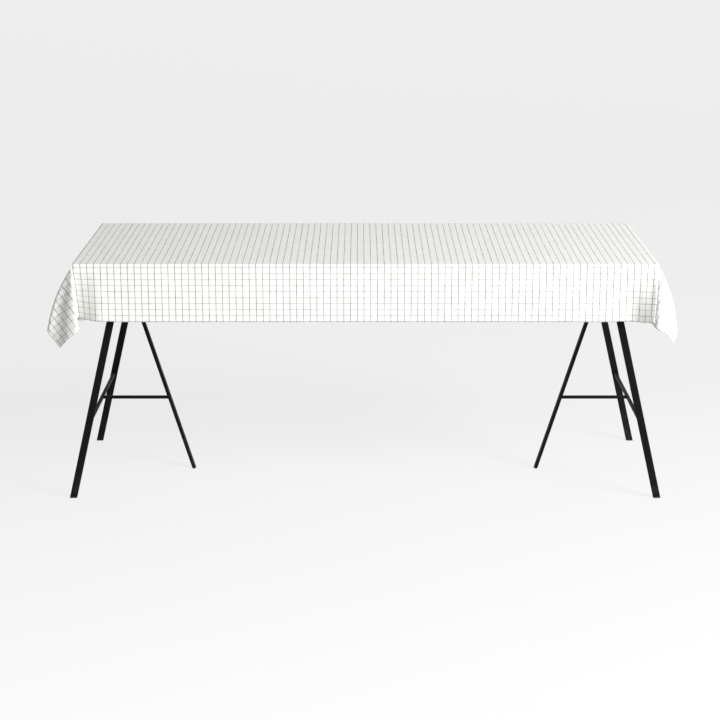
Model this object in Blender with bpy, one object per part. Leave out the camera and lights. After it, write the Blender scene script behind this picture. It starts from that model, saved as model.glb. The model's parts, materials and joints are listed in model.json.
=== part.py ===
"""A trestle table with a tablecloth on it, as separate solids.

Metres, +Z up. The origin is on the floor under the middle of the table. X runs
along the table, -Y is the front. Each trestle stands on three legs: two outer
ones that lean out towards the table's end and one inner leg that leans in, with
a T of two bars between them. The board lies loose on rubber pads on the rails.
"""

import math

import bmesh
import bpy
from mathutils import Vector

# ---- driving dimensions -------------------------------------------------------
GAP = 0.0003  # between pieces that touch

BOARD_LENGTH = 1.750
BOARD_WIDTH = 0.640
BOARD_THICKNESS = 0.025
SKIN_THICKNESS = 0.0008
BAND_THICKNESS = 0.0020

CLOTH_THICKNESS = 0.0012
FRONT_DROP = 0.179  # how far the cloth hangs at the front and back
END_DROP = 0.190  # how far it hangs at the two ends
CORNER_REACH_END = 0.082  # how far a corner fold stands out past the end
CORNER_REACH_FRONT = 0.052  # and past the front or back
CORNER_TIP_DROP = 0.256  # how far the cloth's own corner hangs
FOLD_RUN = 0.16  # the length of hem that a corner fold takes up
FOLD_BEND = 0.40  # where the flat hem starts to bend out, as a share of the fold's run
FOLD_BEND_OUT = 0.006  # how far it stands out and hangs lower there
FOLD_BEND_DROP = 0.002
FOLD_SWELL = 0.10  # where it is half-way out, as a share of the fold's run
FOLD_SWELL_DROP = 0.013
FOLD_CREST = 0.25  # where it stands out furthest, as a share of the reach on the other side
FOLD_CREST_DROP = 0.038
FOLD_TIP = (0.66, 0.90)  # the cloth's own corner, as shares of the two reaches

TRESTLE_HEIGHT = 0.720  # floor to the top of the rail
RAIL_INSET = 0.121  # from the board's end to the rail's centre line
RAIL_SETBACK = 0.009  # from the board's long edge to the rail's end cap
RAIL_WIDTH = 0.040
RAIL_HEIGHT = 0.080
RAIL_WALL = 0.002
RAIL_CORNER_RADIUS = 0.003
END_CAP_THICKNESS = 0.003
END_CAP_STEM = 0.010
PAD_LENGTH = 0.080
PAD_WIDTH = 0.030
PAD_THICKNESS = 0.003
PAD_SETBACK = 0.070  # from the board's long edge to the pad

LEG_WIDTH = 0.022
LEG_DEPTH = 0.010
LEG_WALL = 0.0015
LEG_CORNER_RADIUS = 0.0015
LEAST_RADIUS = 0.0004  # of a corner inside a tube
LEG_SETBACK = 0.0257  # from the board's long edge to the outer leg
OUTER_SPREAD = 0.1537  # from under the rail out to where the leg's centre line meets the floor
INNER_SPREAD = 0.1961
PLATE_LENGTH = 0.056  # along the rail
PLATE_SHIFT = 0.013  # plate's centre from the leg's, towards the bolt
PLATE_THICKNESS = 0.004
FOOT_HEIGHT = 0.004  # what shows of a foot plug
FOOT_STEM = 0.016

BAR_SIZE = 0.009  # the square bars of the T
BAR_HEIGHT = 0.2404  # centre of the bars above the floor

SCREW_RADIUS = 0.0022
SCREW_LENGTH = 0.014  # of thread in the bar
SCREW_HEAD_RADIUS = 0.0040
SCREW_HEAD_HEIGHT = 0.0024
BOLT_RADIUS = 0.0030
BOLT_LENGTH = 0.016
BOLT_HEAD_RADIUS = 0.0055
BOLT_HEAD_HEIGHT = 0.0033
BOLT_OFFSET = 0.024  # bolt from the leg's centre, along the rail
SOCKET_SHARE = 0.5  # the hexagon socket's width, and its depth, as a share of the head
HEAD_CROWN = ((0.0, 0.72), (0.35, 0.93))  # the button head's curve: shares of its height and radius
POINT_RUN = 0.4  # length of the chamfered point, as a share of the thread's radius
POINT_RADIUS = 0.6  # and its radius

ROUND_SIDES = 16
CORNER_STEPS = 3

# ---- sizes that follow --------------------------------------------------------
RAIL_TOP = TRESTLE_HEIGHT
RAIL_BOTTOM = RAIL_TOP - RAIL_HEIGHT
PLATE_TOP = RAIL_BOTTOM - GAP
PLATE_BOTTOM = PLATE_TOP - PLATE_THICKNESS
LEG_TOP = PLATE_BOTTOM - GAP
PAD_BOTTOM = RAIL_TOP + GAP
BOARD_BOTTOM = PAD_BOTTOM + PAD_THICKNESS + GAP
BOARD_TOP = BOARD_BOTTOM + BOARD_THICKNESS
CLOTH_TOP = BOARD_TOP + GAP + CLOTH_THICKNESS
CLOTH_HALF_LENGTH = BOARD_LENGTH / 2 + GAP + CLOTH_THICKNESS
CLOTH_HALF_WIDTH = BOARD_WIDTH / 2 + GAP + CLOTH_THICKNESS
RAIL_CENTRE_X = BOARD_LENGTH / 2 - RAIL_INSET
RAIL_END_Y = BOARD_WIDTH / 2 - RAIL_SETBACK - END_CAP_THICKNESS - GAP
OUTER_LEG_Y = BOARD_WIDTH / 2 - LEG_SETBACK - LEG_DEPTH / 2
OUTER_FOOT_X = RAIL_CENTRE_X + OUTER_SPREAD
INNER_FOOT_X = RAIL_CENTRE_X - INNER_SPREAD
OUTER_SLOPE = -OUTER_SPREAD / RAIL_BOTTOM  # change of x per metre up
INNER_SLOPE = INNER_SPREAD / RAIL_BOTTOM
SCREW_HOLE_RADIUS = SCREW_RADIUS + GAP
BOLT_HOLE_RADIUS = BOLT_RADIUS + GAP
THROUGH = 0.002  # how far a cutter runs past the wall that it cuts

FINISHES = {
    "powder_coated_steel": ((0.012, 0.012, 0.012), 0.55, 0.0),
    "black_plastic": ((0.010, 0.010, 0.010), 0.60, 0.0),
    "black_rubber": ((0.015, 0.015, 0.015), 0.85, 0.0),
    "black_oxide_steel": ((0.020, 0.020, 0.020), 0.40, 1.0),
    "white_laminate": ((0.85, 0.85, 0.83), 0.45, 0.0),
    "particle_board": ((0.48, 0.34, 0.20), 0.90, 0.0),
    "checked_cotton": ((0.86, 0.86, 0.84), 0.90, 0.0),
}


def clear_scene():
    for obj in list(bpy.data.objects):
        bpy.data.objects.remove(obj)


def finish_named(name):
    """The Principled BSDF material of that name, made once."""
    found = bpy.data.materials.get(name)
    if found:
        return found
    colour, roughness, metallic = FINISHES[name]
    material = bpy.data.materials.new(name)
    material.use_nodes = True
    shader = material.node_tree.nodes["Principled BSDF"]
    shader.inputs["Base Color"].default_value = (*colour, 1.0)
    shader.inputs["Roughness"].default_value = roughness
    shader.inputs["Metallic"].default_value = metallic
    return material


def mesh_object(name, points, faces, finish):
    """An object from points and faces, with its normals made to point outwards."""
    mesh = bpy.data.meshes.new(name)
    mesh.from_pydata([tuple(p) for p in points], [], faces)
    work = bmesh.new()
    work.from_mesh(mesh)
    bmesh.ops.recalc_face_normals(work, faces=work.faces)
    work.to_mesh(mesh)
    work.free()
    mesh.materials.append(finish_named(finish))
    obj = bpy.data.objects.new(name, mesh)
    bpy.context.scene.collection.objects.link(obj)
    return obj


def block(name, centre, size, finish):
    """A box from its centre and its three sides."""
    low = [c - s / 2 for c, s in zip(centre, size)]
    high = [c + s / 2 for c, s in zip(centre, size)]
    points = [(x, y, z) for z in (low[2], high[2]) for y in (low[1], high[1]) for x in (low[0], high[0])]
    faces = [(0, 2, 3, 1), (4, 5, 7, 6), (0, 1, 5, 4), (2, 6, 7, 3), (0, 4, 6, 2), (1, 3, 7, 5)]
    return mesh_object(name, points, faces, finish)


def rounded_rectangle(width, depth, radius):
    """Corners of a rectangle with round corners, anticlockwise, about the origin."""
    points = []
    for quarter, (sx, sy) in enumerate(((1, 1), (-1, 1), (-1, -1), (1, -1))):
        for step in range(CORNER_STEPS + 1):
            turn = math.radians(90 * (quarter + step / CORNER_STEPS))
            points.append(
                (
                    sx * (width / 2 - radius) + radius * math.cos(turn),
                    sy * (depth / 2 - radius) + radius * math.sin(turn),
                )
            )
    return points


def skin_rings(rings, closed_ends):
    """Points and faces of a skin over rings of equal count; the ends are capped or joined to each other."""
    count = len(rings[0])
    points = [p for ring in rings for p in ring]
    pairs = list(zip(range(len(rings) - 1), range(1, len(rings))))
    if not closed_ends:
        pairs.append((len(rings) - 1, 0))
    faces = [
        (a * count + i, a * count + (i + 1) % count, b * count + (i + 1) % count, b * count + i)
        for a, b in pairs
        for i in range(count)
    ]
    if closed_ends:
        faces.append(tuple(range(count)))
        faces.append(tuple(range((len(rings) - 1) * count, len(rings) * count)))
    return points, faces


class Leg:
    """A leg's centre line and section. Its two ends are cut level."""

    def __init__(self, side, foot_x, slope, y, width, depth):
        self.side, self.foot_x, self.slope, self.y = side, foot_x, slope, y
        self.width, self.depth = width, depth
        self.level = math.hypot(1, slope)  # a level cut across the leaning leg is this much longer

    def centre_x(self, z):
        return self.side * (self.foot_x + self.slope * z)

    def ring(self, z, inset=0.0):
        """The leg's outline at height z, drawn in by inset all round."""
        radius = max(LEG_CORNER_RADIUS - inset, LEAST_RADIUS)
        outline = rounded_rectangle(self.width - 2 * inset, self.depth - 2 * inset, radius)
        return [(self.centre_x(z) + p * self.level, self.y + q, z) for p, q in outline]


def cut(obj, cutter):
    """Takes the cutter's shape out of the object."""
    cutter.hide_render = True
    cutter.display_type = "WIRE"
    boolean = obj.modifiers.new("cut_" + cutter.name, "BOOLEAN")
    boolean.operation = "DIFFERENCE"
    boolean.solver = "EXACT"
    boolean.object = cutter


def turned(name, start, direction, profile, finish, sides=ROUND_SIDES):
    """A solid turned about the line from start along direction; profile is (distance, radius) pairs."""
    axis = Vector(direction).normalized()
    across = axis.orthogonal().normalized()
    third = axis.cross(across)
    rings = []
    for distance, radius in profile:
        centre = Vector(start) + axis * distance
        rings.append(
            [
                centre
                + across * radius * math.cos(2 * math.pi * i / sides)
                + third * radius * math.sin(2 * math.pi * i / sides)
                for i in range(sides)
            ]
        )
    points, faces = skin_rings(rings, closed_ends=True)
    return mesh_object(name, points, faces, finish)


def cap_screw(name, seat, direction, radius, length, head_radius, head_height, finish):
    """A button-head screw whose head sits on seat; direction is the way it is driven."""
    axis = Vector(direction).normalized()
    top = Vector(seat) - axis * head_height
    screw = turned(
        name,
        top,
        axis,
        [
            *((head_height * along, head_radius * out) for along, out in HEAD_CROWN),
            (head_height - GAP, head_radius),
            (head_height - GAP, radius),
            (head_height + length - radius * POINT_RUN, radius),
            (head_height + length, radius * POINT_RADIUS),
        ],
        finish,
    )
    socket = turned(
        name + "_socket_cutter",
        top - axis * THROUGH,
        axis,
        [(0, head_radius * SOCKET_SHARE), (THROUGH + head_height * SOCKET_SHARE, head_radius * SOCKET_SHARE)],
        finish,
        sides=6,
    )
    cut(screw, socket)
    return screw


def hole(obj, start, direction, length, radius):
    """Cuts a round hole."""
    name = f"{obj.name}_hole_cutter_{len(obj.modifiers)}"
    cut(obj, turned(name, start, direction, [(0, radius), (length, radius)], "black_plastic"))


# ---- the board ----------------------------------------------------------------
def make_board():
    """Particle board between two thin skins, edged all round."""
    band_room = BAND_THICKNESS + GAP
    core_size = (
        BOARD_LENGTH - 2 * band_room,
        BOARD_WIDTH - 2 * band_room,
        BOARD_THICKNESS - 2 * (SKIN_THICKNESS + GAP),
    )
    middle_z = (BOARD_TOP + BOARD_BOTTOM) / 2
    block("tabletop_core", (0, 0, middle_z), core_size, "particle_board")
    skin_size = (core_size[0], core_size[1], SKIN_THICKNESS)
    block("tabletop_upper_skin", (0, 0, BOARD_TOP - SKIN_THICKNESS / 2), skin_size, "white_laminate")
    block("tabletop_lower_skin", (0, 0, BOARD_BOTTOM + SKIN_THICKNESS / 2), skin_size, "white_laminate")
    for word, way in (("front", -1), ("rear", 1)):
        centre = (0, way * (BOARD_WIDTH - BAND_THICKNESS) / 2, middle_z)
        block(f"edge_band_{word}", centre, (BOARD_LENGTH, BAND_THICKNESS, BOARD_THICKNESS), "white_laminate")
    for word, way in (("left", -1), ("right", 1)):
        centre = (way * (BOARD_LENGTH - BAND_THICKNESS) / 2, 0, middle_z)
        block(f"edge_band_{word}", centre, (BAND_THICKNESS, core_size[1], BOARD_THICKNESS), "white_laminate")


# ---- the cloth ----------------------------------------------------------------
def corner_hem():
    """Hem points of one corner fold, from the front's flat hem to the end's.

    Each is (out past the end, out past the front, down), from the table's corner.
    """
    return [
        (-FOLD_RUN, 0.0, FRONT_DROP),
        (-FOLD_BEND * FOLD_RUN, FOLD_BEND_OUT, FRONT_DROP + FOLD_BEND_DROP),
        (-FOLD_SWELL * FOLD_RUN, CORNER_REACH_FRONT / 2, FRONT_DROP + FOLD_SWELL_DROP),
        (FOLD_CREST * CORNER_REACH_END, CORNER_REACH_FRONT, FRONT_DROP + FOLD_CREST_DROP),
        (FOLD_TIP[0] * CORNER_REACH_END, FOLD_TIP[1] * CORNER_REACH_FRONT, CORNER_TIP_DROP),
        (CORNER_REACH_END, FOLD_CREST * CORNER_REACH_FRONT, END_DROP + FOLD_CREST_DROP),
        (CORNER_REACH_END / 2, -FOLD_SWELL * FOLD_RUN, END_DROP + FOLD_SWELL_DROP),
        (FOLD_BEND_OUT, -FOLD_BEND * FOLD_RUN, END_DROP + FOLD_BEND_DROP),
        (0.0, -FOLD_RUN, END_DROP),
    ]


def cloth_surface(inset):
    """Points of the cloth's outer face, or of its inner face at inset below it: corners, edges, hems."""
    points, fans = [], []
    half_x, half_y, top = CLOTH_HALF_LENGTH - inset, CLOTH_HALF_WIDTH - inset, CLOTH_TOP - inset
    for sx, sy in ((-1, -1), (1, -1), (1, 1), (-1, 1)):
        apex = len(points)
        points.append(Vector((sx * half_x, sy * half_y, top)))
        front_edge = len(points)
        points.append(Vector((sx * (CLOTH_HALF_LENGTH - FOLD_RUN), sy * half_y, top)))
        end_edge = len(points)
        points.append(Vector((sx * half_x, sy * (CLOTH_HALF_WIDTH - FOLD_RUN), top)))
        first_hem = len(points)
        hem = corner_hem()
        for i, (out_x, out_y, down) in enumerate(hem):
            before, after = hem[max(i - 1, 0)], hem[min(i + 1, len(hem) - 1)]
            along = Vector((after[0] - before[0], after[1] - before[1], 0)).normalized()
            inward = Vector((along.y, -along.x, 0))
            if i == 0:
                inward = Vector((0, -1, 0))
            if i == len(hem) - 1:
                inward = Vector((-1, 0, 0))
            x = CLOTH_HALF_LENGTH + out_x + inward.x * inset
            y = CLOTH_HALF_WIDTH + out_y + inward.y * inset
            points.append(Vector((sx * x, sy * y, CLOTH_TOP - down)))
        fans.append((apex, front_edge, end_edge, first_hem, len(hem)))
    return points, fans


def cloth_faces(fans, first):
    """Faces over one face of the cloth, and its rim in order."""
    def at(index):
        return first + index

    faces, rims = [], []
    for apex, front_edge, end_edge, hem, count in fans:
        faces.append((at(apex), at(front_edge), at(hem)))
        faces += [(at(apex), at(hem + i), at(hem + i + 1)) for i in range(count - 1)]
        faces.append((at(apex), at(hem + count - 1), at(end_edge)))
        rims.append([at(hem + i) for i in range(count)])
    (a0, f0, e0, h0, n), (a1, f1, e1, h1, _), (a2, f2, e2, h2, _), (a3, f3, e3, h3, _) = fans
    faces.append(tuple(map(at, (f0, f1, h1, h0))))
    faces.append(tuple(map(at, (f2, f3, h3, h2))))
    faces.append(tuple(map(at, (e1, e2, h2 + n - 1, h1 + n - 1))))
    faces.append(tuple(map(at, (e3, e0, h0 + n - 1, h3 + n - 1))))
    faces.append(tuple(map(at, (a0, f0, f1, a1, e1, e2, a2, f2, f3, a3, e3, e0))))
    rim = rims[0][::-1] + rims[1] + rims[2][::-1] + rims[3]
    return faces, rim


def make_cloth():
    """One sheet over the board that hangs flat at the sides and folds out at the corners."""
    outer, fans = cloth_surface(0.0)
    inner, _ = cloth_surface(CLOTH_THICKNESS)
    outer_faces, outer_rim = cloth_faces(fans, 0)
    inner_faces, inner_rim = cloth_faces(fans, len(outer))
    rim_faces = [
        (outer_rim[i - 1], outer_rim[i], inner_rim[i], inner_rim[i - 1]) for i in range(len(outer_rim))
    ]
    mesh_object("tablecloth", outer + inner, outer_faces + inner_faces + rim_faces, "checked_cotton")


# ---- a trestle ----------------------------------------------------------------
def make_leg(name, leg):
    """A flat steel tube, open at both ends, cut level under its plate and on its foot."""
    rings = [
        leg.ring(FOOT_HEIGHT + GAP),
        leg.ring(LEG_TOP),
        leg.ring(LEG_TOP, LEG_WALL),
        leg.ring(FOOT_HEIGHT + GAP, LEG_WALL),
    ]
    points, faces = skin_rings(rings, closed_ends=False)
    return mesh_object(name, points, faces, "powder_coated_steel")


def make_foot(name, leg):
    """A plastic plug: a foot with the leg's outline and a stem inside the tube."""
    stem_inset = LEG_WALL + GAP
    rings = [
        leg.ring(0.0),
        leg.ring(FOOT_HEIGHT),
        leg.ring(FOOT_HEIGHT, stem_inset),
        leg.ring(FOOT_HEIGHT + FOOT_STEM, stem_inset),
    ]
    points, faces = skin_rings(rings, closed_ends=True)
    mesh_object(name, points, faces, "black_plastic")


def make_rail(prefix, side):
    """The steel tube that carries the board, its two end caps and its two rubber pads."""
    x = side * RAIL_CENTRE_X
    middle_z = (RAIL_TOP + RAIL_BOTTOM) / 2

    def ring(y, inset):
        outline = rounded_rectangle(RAIL_WIDTH - 2 * inset, RAIL_HEIGHT - 2 * inset, RAIL_CORNER_RADIUS - inset)
        return [(x + p, y, middle_z + q) for p, q in outline]

    rings = [
        ring(-RAIL_END_Y, 0),
        ring(RAIL_END_Y, 0),
        ring(RAIL_END_Y, RAIL_WALL),
        ring(-RAIL_END_Y, RAIL_WALL),
    ]
    points, faces = skin_rings(rings, closed_ends=False)
    rail = mesh_object(f"{prefix}_head_rail", points, faces, "powder_coated_steel")
    for word, way in (("front", -1), ("rear", 1)):
        inner_face = way * (RAIL_END_Y + GAP)
        stem_inset = RAIL_WALL + GAP
        cap_rings = [
            ring(inner_face + way * END_CAP_THICKNESS, 0),
            ring(inner_face, 0),
            ring(inner_face, stem_inset),
            ring(inner_face - way * END_CAP_STEM, stem_inset),
        ]
        points, faces = skin_rings(cap_rings, closed_ends=True)
        mesh_object(f"{prefix}_rail_cap_{word}", points, faces, "black_plastic")
        block(
            f"{prefix}_grip_pad_{word}",
            (x, way * (BOARD_WIDTH / 2 - PAD_SETBACK - PAD_LENGTH / 2), PAD_BOTTOM + PAD_THICKNESS / 2),
            (PAD_WIDTH, PAD_LENGTH, PAD_THICKNESS),
            "black_rubber",
        )
    return rail


def make_plate(prefix, word, leg, bolt_way, rail):
    """The plate welded on a leg's top and the bolt that holds it up to the rail."""
    x = leg.side * RAIL_CENTRE_X
    plate = block(
        f"{prefix}_leg_plate_{word}",
        (x, leg.y + bolt_way * PLATE_SHIFT, (PLATE_TOP + PLATE_BOTTOM) / 2),
        (RAIL_WIDTH, PLATE_LENGTH, PLATE_THICKNESS),
        "powder_coated_steel",
    )
    bolt_y = leg.y + bolt_way * BOLT_OFFSET
    seat = Vector((x, bolt_y, PLATE_BOTTOM))
    up = (0, 0, 1)
    cap_screw(
        f"{prefix}_plate_bolt_{word}",
        seat,
        up,
        BOLT_RADIUS,
        BOLT_LENGTH,
        BOLT_HEAD_RADIUS,
        BOLT_HEAD_HEIGHT,
        "black_oxide_steel",
    )
    below = seat - Vector(up) * THROUGH
    hole(plate, below, up, PLATE_THICKNESS + 2 * THROUGH, BOLT_HOLE_RADIUS)
    hole(rail, below, up, PLATE_THICKNESS + GAP + RAIL_WALL + 2 * THROUGH, BOLT_HOLE_RADIUS)


def make_bars(prefix, side, outer_legs, inner_leg):
    """The T between the legs: a cross bar screwed between the outer legs and a tie bar to the inner leg."""
    cross_x = outer_legs[0].centre_x(BAR_HEIGHT)
    half = OUTER_LEG_Y - LEG_DEPTH / 2 - GAP
    blind = THROUGH + GAP + SCREW_LENGTH + THROUGH  # a threaded hole, from outside its mouth to its end
    size = (BAR_SIZE, 2 * half, BAR_SIZE)
    cross = block(f"{prefix}_cross_bar", (cross_x, 0, BAR_HEIGHT), size, "powder_coated_steel")
    for word, way in (("front", -1), ("rear", 1)):
        seat = Vector((cross_x, way * (OUTER_LEG_Y + LEG_DEPTH / 2), BAR_HEIGHT))
        drive = Vector((0, -way, 0))
        reach = LEG_DEPTH + GAP + SCREW_LENGTH
        cap_screw(
            f"{prefix}_leg_screw_{word}",
            seat,
            drive,
            SCREW_RADIUS,
            reach,
            SCREW_HEAD_RADIUS,
            SCREW_HEAD_HEIGHT,
            "black_oxide_steel",
        )
        leg_obj = bpy.data.objects[f"{prefix}_outer_leg_{word}"]
        hole(leg_obj, seat - drive * THROUGH, drive, LEG_DEPTH + 2 * THROUGH, SCREW_HOLE_RADIUS)
        hole(cross, seat + drive * (LEG_DEPTH - THROUGH), drive, blind, SCREW_HOLE_RADIUS)

    # The tie bar starts at the cross bar's inner face and its other end is cut to the leaning inner leg.
    start_x = cross_x - side * (BAR_SIZE / 2 + GAP)
    points = []
    for z in (BAR_HEIGHT - BAR_SIZE / 2, BAR_HEIGHT + BAR_SIZE / 2):
        leg_face_x = inner_leg.centre_x(z) + side * (inner_leg.width / 2 * inner_leg.level + GAP)
        for x in (start_x, leg_face_x):
            points += [(x, -BAR_SIZE / 2, z), (x, BAR_SIZE / 2, z)]
    faces = [(0, 1, 3, 2), (4, 6, 7, 5), (0, 4, 5, 1), (2, 3, 7, 6), (0, 2, 6, 4), (1, 5, 7, 3)]
    tie = mesh_object(f"{prefix}_tie_bar", points, faces, "powder_coated_steel")
    seat = Vector((cross_x + side * BAR_SIZE / 2, 0, BAR_HEIGHT))
    drive = Vector((-side, 0, 0))
    cap_screw(
        f"{prefix}_tie_screw",
        seat,
        drive,
        SCREW_RADIUS,
        BAR_SIZE + GAP + SCREW_LENGTH,
        SCREW_HEAD_RADIUS,
        SCREW_HEAD_HEIGHT,
        "black_oxide_steel",
    )
    hole(cross, seat - drive * THROUGH, drive, BAR_SIZE + 2 * THROUGH, SCREW_HOLE_RADIUS)
    hole(tie, seat + drive * (BAR_SIZE - THROUGH), drive, blind, SCREW_HOLE_RADIUS)


def make_trestle(prefix, side):
    """One trestle: side is -1 for the left one and 1 for the right one."""
    rail = make_rail(prefix, side)
    outer_legs = []
    for word, way in (("front", -1), ("rear", 1)):
        leg = Leg(side, OUTER_FOOT_X, OUTER_SLOPE, way * OUTER_LEG_Y, LEG_WIDTH, LEG_DEPTH)
        make_leg(f"{prefix}_outer_leg_{word}", leg)
        make_foot(f"{prefix}_outer_foot_{word}", leg)
        make_plate(prefix, f"outer_{word}", leg, -way, rail)
        outer_legs.append(leg)
    inner_leg = Leg(side, INNER_FOOT_X, INNER_SLOPE, 0.0, LEG_DEPTH, LEG_WIDTH)
    make_leg(f"{prefix}_inner_leg", inner_leg)
    make_foot(f"{prefix}_inner_foot", inner_leg)
    make_plate(prefix, "inner", inner_leg, side, rail)
    make_bars(prefix, side, outer_legs, inner_leg)


def main():
    clear_scene()
    make_board()
    make_cloth()
    make_trestle("left", -1)
    make_trestle("right", 1)


main()
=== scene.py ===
"""The looks of a checked tablecloth on a trestle table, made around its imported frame."""

import json
import math

import bmesh
import bpy
import numpy as np
from bpy.props import FloatProperty, PointerProperty, StringProperty
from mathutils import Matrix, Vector


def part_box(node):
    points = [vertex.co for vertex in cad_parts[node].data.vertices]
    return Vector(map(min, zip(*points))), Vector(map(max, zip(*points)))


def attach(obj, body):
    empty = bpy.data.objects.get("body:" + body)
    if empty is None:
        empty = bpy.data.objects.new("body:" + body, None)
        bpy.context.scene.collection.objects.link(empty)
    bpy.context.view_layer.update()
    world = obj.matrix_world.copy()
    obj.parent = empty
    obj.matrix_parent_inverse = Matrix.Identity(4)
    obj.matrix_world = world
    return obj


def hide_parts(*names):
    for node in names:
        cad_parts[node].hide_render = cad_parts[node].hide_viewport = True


bl_info = {
    "name": "Trestle Table with Tablecloth",
    "version": (1, 0, 0),
    "blender": (4, 5, 0),
    "location": "View3D > Sidebar > Tablecloth",
    "description": "Drapes a checked tablecloth over a board on two steel trestles",
    "category": "Object",
}

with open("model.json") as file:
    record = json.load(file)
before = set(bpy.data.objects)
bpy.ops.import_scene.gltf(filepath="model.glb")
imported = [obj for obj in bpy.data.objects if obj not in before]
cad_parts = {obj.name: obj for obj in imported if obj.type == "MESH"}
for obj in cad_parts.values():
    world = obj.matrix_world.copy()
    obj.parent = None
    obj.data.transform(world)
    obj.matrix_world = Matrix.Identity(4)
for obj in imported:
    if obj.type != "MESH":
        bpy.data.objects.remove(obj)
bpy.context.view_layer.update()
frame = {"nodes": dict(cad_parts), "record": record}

MM = 0.001
SHARP_ANGLE = math.radians(40)
SIDE_WORDS = ("left", "right")


def box_of(*nodes):
    """The lowest and highest corners of the nodes together."""
    lows, highs = zip(*(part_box(node) for node in nodes))
    return Vector(np.min(lows, axis=0)), Vector(np.max(highs, axis=0))


BOARD_LOW, BOARD_HIGH = box_of("edge_band_front", "edge_band_rear", "edge_band_left", "edge_band_right")


# ---- sizes and colours that a user would change -------------------------------
def length_setting(name, description, default, **limits):
    """A length that the panel shows in the scene's units."""
    return FloatProperty(name=name, description=description, default=default, unit="LENGTH", **limits)


def colour_setting(name, thing, default):
    """The colour of a thing, which the panel shows as sRGB hex."""
    return StringProperty(name=name, description=f"Colour of the {thing}, as sRGB hex", default=default)


class ClothSettings(bpy.types.PropertyGroup):
    front_drop: length_setting(
        "Front Drop", "How far the cloth hangs at the front and the back", 0.179, min=0.05, max=0.60
    )
    end_drop: length_setting("End Drop", "How far the cloth hangs at the two ends", 0.190, min=0.05, max=0.60)
    check_long: length_setting(
        "Check Along", "Distance between the dark threads along the table", 0.0202, min=0.002
    )
    check_across: length_setting(
        "Check Across", "Distance between the dark threads across the table", 0.01843, min=0.002
    )
    check_shift: length_setting(
        "Check Shift", "How far the bands along the table lie from the middle of the cut", 0.0040
    )
    line_width: length_setting("Line Width", "Width of each band of dark threads", 0.0017, min=0.0002)
    yarn: colour_setting("Cotton", "bleached yarn", "#ECEBE8")
    dark_yarn: colour_setting("Dark Yarn", "check", "#3A3A3C")


class TrestleSettings(bpy.types.PropertyGroup):
    coat: colour_setting("Powder Coat", "steel", "#0B0B0B")
    plastic: colour_setting("Plastic", "plugs and caps", "#141414")


# ---- node helpers -------------------------------------------------------------
def hex_colour(text):
    """An sRGB hex colour as linear RGBA."""
    channels = [int(text[i : i + 2], 16) / 255 for i in (1, 3, 5)]
    linear = [c / 12.92 if c <= 0.04045 else ((c + 0.055) / 1.055) ** 2.4 for c in channels]
    return (*linear, 1.0)


def add(tree, kind, inputs=None, **settings):
    """Adds a node; inputs maps a socket's name or number to a value or to the output that feeds it."""
    made = tree.nodes.new(kind)
    for name, value in settings.items():
        setattr(made, name, value)
    for name, value in (inputs or {}).items():
        if isinstance(value, bpy.types.NodeSocket):
            tree.links.new(value, made.inputs[name])
        else:
            made.inputs[name].default_value = value
    return made


def sums(tree, operation, *values):
    """A Math node's result."""
    return add(tree, "ShaderNodeMath", dict(enumerate(values)), operation=operation).outputs[0]


def new_material(name, base, roughness, others=()):
    """A Principled material and its tree and shader; others maps more of its sockets to values."""
    material = bpy.data.materials.new(name)
    material.use_nodes = True
    tree = material.node_tree
    shader = tree.nodes["Principled BSDF"]
    levels = {"Base Color": hex_colour(base), "Roughness": roughness, **dict(others)}
    for socket, value in levels.items():
        shader.inputs[socket].default_value = value
    return material, tree, shader


def mixed(tree, share, one, other):
    """The colour between one and other."""
    made = add(tree, "ShaderNodeMix", {"Factor": share, "A": one, "B": other}, data_type="RGBA")
    return made.outputs["Result"]


def noise(tree, place, scale, detail, **sockets):
    """A noise texture's value: scale is in patches per metre."""
    inputs = {"Vector": place, "Scale": scale, "Detail": detail, **sockets}
    return add(tree, "ShaderNodeTexNoise", inputs).outputs["Fac"]


def ranged(tree, value, low, high, to_low, to_high):
    """The value moved from the range low to high into the range to_low to to_high."""
    inputs = {"Value": value, "From Min": low, "From Max": high, "To Min": to_low, "To Max": to_high}
    return add(tree, "ShaderNodeMapRange", inputs).outputs["Result"]


def own_place(tree):
    """The piece's own coordinates, in metres."""
    return add(tree, "ShaderNodeTexCoord").outputs["Object"]


def raise_by(tree, shader, height, strength, depth):
    """Lets the height stand up from the face by depth at most."""
    bump = add(tree, "ShaderNodeBump", {"Height": height, "Strength": strength, "Distance": depth})
    tree.links.new(bump.outputs["Normal"], shader.inputs["Normal"])


def geometry_tree(name, sizes, objects=()):
    """A Geometry Nodes tree with named inputs, and its input node's outputs."""
    tree = bpy.data.node_groups.new(name, "GeometryNodeTree")

    def socket(label, kind, in_out="INPUT"):
        return tree.interface.new_socket(label, in_out=in_out, socket_type=f"NodeSocket{kind}")

    socket("Geometry", "Geometry")
    for label, value in sizes.items():
        socket(label, "Float").default_value = value
    for label in objects:
        socket(label, "Object")
    socket("Material", "Material")
    socket("Geometry", "Geometry", in_out="OUTPUT")
    return tree, tree.nodes.new("NodeGroupInput").outputs


def evenly_along(tree, source):
    """Points a Pitch apart along the loop that the tree runs on, and the loop's direction there."""
    path = add(tree, "GeometryNodeMeshToCurve", {"Mesh": source["Geometry"]}).outputs["Curve"]
    even = add(tree, "GeometryNodeResampleCurve", {"Curve": path, "Length": source["Pitch"]}, mode="LENGTH")
    made = add(tree, "GeometryNodeCurveToPoints", {"Curve": even.outputs["Curve"]}, mode="EVALUATED")
    return made.outputs["Points"], made.outputs["Tangent"]


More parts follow.
